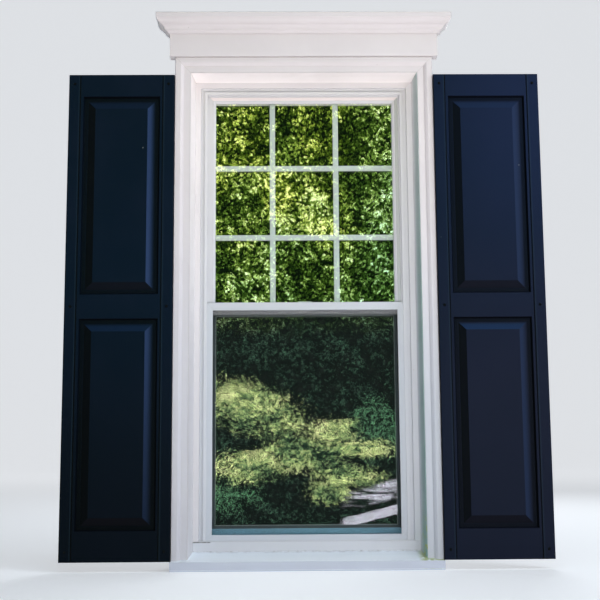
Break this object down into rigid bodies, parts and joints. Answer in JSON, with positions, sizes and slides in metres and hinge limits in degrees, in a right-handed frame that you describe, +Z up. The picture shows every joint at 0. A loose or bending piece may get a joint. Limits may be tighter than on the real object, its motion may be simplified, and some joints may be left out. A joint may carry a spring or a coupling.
{
  "type": "sash window",
  "caption": "Double-hung sash window in its frame, with moulded casing, crowned header, sloping sill, half screen, bars between the panes and panelled shutters beside it.",
  "frame": {"origin": "on the centre line, under the sill, in the plane of the wall behind the casing", "axes": "+X to the right seen from outside, +Y into the wall (the weather side faces -Y), +Z up"},
  "size_m": [1.6724, 0.2495, 1.9491],
  "materials": {
    "trim_paint": "white satin paint",
    "cap": "white baked paint",
    "vinyl": "satin white",
    "glass": "clear",
    "spacer": "mill",
    "grille": "white coating",
    "screen_bar": "white baked paint",
    "mesh": "charcoal woven mesh",
    "spline": "matte",
    "corner_key": "matte",
    "spring_steel": "rolled",
    "pivot_steel": "zinc",
    "shoe_plastic": "matte",
    "latch_plastic": "satin white",
    "lock_paint": "white enamel",
    "shutter": "dark satin",
    "shutter_screw": "dark paint"
  },
  "bodies": {
    "frame": {"sill": "trim_paint", "jamb_left": "trim_paint", "jamb_right": "trim_paint", "jamb_head": "trim_paint", "casing_left": "trim_paint", "casing_right": "trim_paint", "casing_head": "trim_paint", "header_board": "trim_paint", "crown_front": "trim_paint", "crown_left": "trim_paint", "crown_right": "trim_paint", "crown_cap": "cap", "frame_sill": "vinyl", "frame_left": "vinyl", "frame_right": "vinyl", "frame_head": "vinyl", "sill_cover": "vinyl", "screen_left": "screen_bar", "screen_right": "screen_bar", "screen_top": "screen_bar", "screen_bottom": "screen_bar", "screen_corners": "corner_key", "screen_mesh": "mesh", "screen_spline": "spline", "screen_springs": "spring_steel", "balance_coils": "spring_steel", "upper_strips": "spring_steel", "lower_strips": "spring_steel", "shutter_left": "shutter", "shutter_right": "shutter", "shutter_screws": "shutter_screw"},
    "upper_sash": {"upper_stile_left": "vinyl", "upper_stile_right": "vinyl", "upper_top_rail": "vinyl", "upper_meeting_rail": "vinyl", "upper_beads": "vinyl", "upper_interlock": "vinyl", "upper_glass": "glass", "upper_spacer": "spacer", "grille": "grille", "upper_keeper": "lock_paint", "upper_pivot_bars": "pivot_steel", "upper_shoes": "shoe_plastic"},
    "lower_sash": {"lower_stile_left": "vinyl", "lower_stile_right": "vinyl", "lower_meeting_rail": "vinyl", "lower_bottom_rail": "vinyl", "lower_beads": "vinyl", "lower_interlock": "vinyl", "lower_glass": "glass", "lower_spacer": "spacer", "lock_base": "lock_paint", "lower_pivot_bars": "pivot_steel", "lower_shoes": "shoe_plastic"},
    "lock": {"lock_lever": "lock_paint"},
    "upper_latch_left": {"upper_latch_left": "latch_plastic"},
    "upper_latch_right": {"upper_latch_right": "latch_plastic"},
    "lower_latch_left": {"lower_latch_left": "latch_plastic"},
    "lower_latch_right": {"lower_latch_right": "latch_plastic"}
  },
  "joints": [
    {"name": "lower_sash_slide", "type": "slide", "parent": "frame", "child": "lower_sash", "axis": [0, 0, 1], "range_m": [0, 0.68], "deforming": ["lower_strips"]},
    {"name": "upper_sash_slide", "type": "slide", "parent": "frame", "child": "upper_sash", "axis": [0, 0, -1], "range_m": [0, 0.68], "deforming": ["upper_strips"]},
    {"name": "lock_turn", "type": "hinge", "parent": "lower_sash", "child": "lock", "pos_m": [0, 0.124, 0.92], "axis": [0, 0, -1], "range_deg": [0, 90]},
    {"name": "upper_latch_left_slide", "type": "slide", "parent": "upper_sash", "child": "upper_latch_left", "axis": [1, 0, 0], "range_m": [0, 0.009], "stiffness_N_per_m": 300, "springref_m": -0.004},
    {"name": "upper_latch_right_slide", "type": "slide", "parent": "upper_sash", "child": "upper_latch_right", "axis": [-1, 0, 0], "range_m": [0, 0.009], "stiffness_N_per_m": 300, "springref_m": -0.004},
    {"name": "lower_latch_left_slide", "type": "slide", "parent": "lower_sash", "child": "lower_latch_left", "axis": [1, 0, 0], "range_m": [0, 0.009], "stiffness_N_per_m": 300, "springref_m": -0.004},
    {"name": "lower_latch_right_slide", "type": "slide", "parent": "lower_sash", "child": "lower_latch_right", "axis": [-1, 0, 0], "range_m": [0, 0.009], "stiffness_N_per_m": 300, "springref_m": -0.004}
  ]
}
